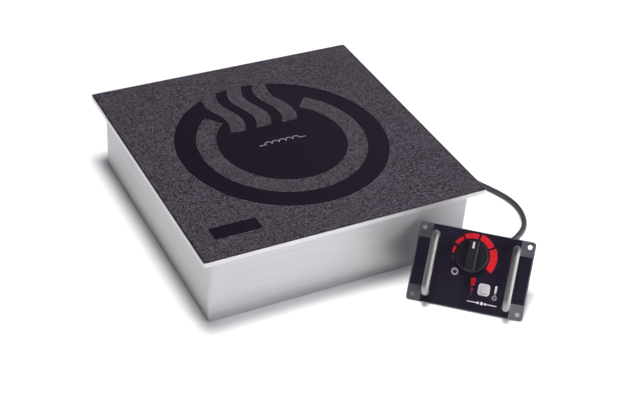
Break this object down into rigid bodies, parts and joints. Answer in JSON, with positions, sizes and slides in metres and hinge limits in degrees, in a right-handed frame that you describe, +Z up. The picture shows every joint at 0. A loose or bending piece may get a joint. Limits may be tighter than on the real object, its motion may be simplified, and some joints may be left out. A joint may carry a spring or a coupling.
{
  "type": "induction hob",
  "caption": "Drop-in square induction hob with a glass-ceramic top in a steel trim frame, and a tethered control box with a guarded power knob and a mode button.",
  "frame": {"origin": "centre of the unit's underside, on the base plate", "axes": "+Z up out of the cooking surface, +X right along the unit's front edge, +Y towards the rear wall with the cable entries"},
  "size_m": [0.466, 0.566, 0.0994],
  "materials": {
    "hob_glass": "gloss glass-ceramic with speckled enamel print",
    "silicone": "matt",
    "stainless": "brushed",
    "zinc_steel": "zinc plated",
    "ceramic_fibre": "matt",
    "mica": "satin",
    "copper": "enamelled wire",
    "carrier_plastic": "matt",
    "ferrite": "matt",
    "aluminium": "satin",
    "brushed_aluminium": "brushed",
    "board": "solder mask",
    "package": "matt",
    "film_box": "satin",
    "choke": "lacquered",
    "nylon": "matt",
    "terminal": "matt",
    "cable_jacket": "satin",
    "panel_film": "satin printed film",
    "housing_plastic": "fine texture",
    "knob_plastic": "satin",
    "marker": "satin",
    "button_white": "satin",
    "button_grey": "satin",
    "display": "gloss",
    "spring_steel": "polished"
  },
  "bodies": {
    "unit": {"glass_top": "hob_glass", "glass_seal": "silicone", "top_frame": "stainless", "frame_nuts": "zinc_steel", "casing_walls": "stainless", "base_plate": "stainless", "base_screws": "zinc_steel", "insulation_blanket": "ceramic_fibre", "mica_sheet": "mica", "coil_winding": "copper", "coil_carrier": "carrier_plastic", "ferrite_bars": "ferrite", "coil_plate": "aluminium", "coil_standoffs": "zinc_steel", "coil_plate_screws": "zinc_steel", "coil_leads": "copper", "sensor_holder": "carrier_plastic", "temperature_sensor": "aluminium", "sensor_spring": "spring_steel", "power_board": "board", "board_spacers": "zinc_steel", "heatsink": "aluminium", "igbt_modules": "package", "bridge_rectifier": "package", "film_capacitors": "film_box", "dc_link_capacitor": "film_box", "choke_coil": "choke", "filter_board": "board", "common_mode_choke": "choke", "terminal_block": "terminal", "fan_frame": "nylon", "fan_screws": "zinc_steel", "air_duct": "nylon", "display_bracket": "zinc_steel", "display_board": "board", "display_module": "display", "mains_gland_body": "nylon", "mains_gland_cap": "nylon", "gland_nuts": "nylon", "control_gland": "nylon", "panel_plate": "stainless", "panel_overlay": "panel_film", "guard_bar_left": "brushed_aluminium", "guard_bar_right": "brushed_aluminium", "guard_bar_screws": "zinc_steel", "panel_gasket": "silicone", "control_housing": "housing_plastic", "housing_screws": "zinc_steel", "encoder_body": "package", "encoder_nut": "zinc_steel", "button_bezel": "button_white", "button_switch": "package", "switch_board": "board", "strain_relief": "nylon", "control_cable": "cable_jacket"},
    "knob": {"knob_shaft": "aluminium", "control_knob": "knob_plastic", "knob_pointer": "marker"},
    "button": {"mode_button": "button_grey"},
    "fan": {"fan_rotor": "nylon"}
  },
  "joints": [
    {"name": "knob_turn", "type": "hinge", "parent": "unit", "child": "knob", "pos_m": [0.13606, -0.22932, 0.04947], "axis": [-0.4955, -0.5842, 0.6428], "range_deg": [-125, 143]},
    {"name": "mode_button_press", "type": "slide", "parent": "unit", "child": "button", "axis": [0.4955, 0.5842, -0.6428], "range_m": [0, 0.0012], "stiffness_N_per_m": 400, "springref_m": -0.0005},
    {"name": "fan_spin", "type": "hinge", "parent": "unit", "child": "fan", "pos_m": [-0.0663, -0.062, 0.0139], "axis": [0, 0, 1], "continuous": true}
  ]
}
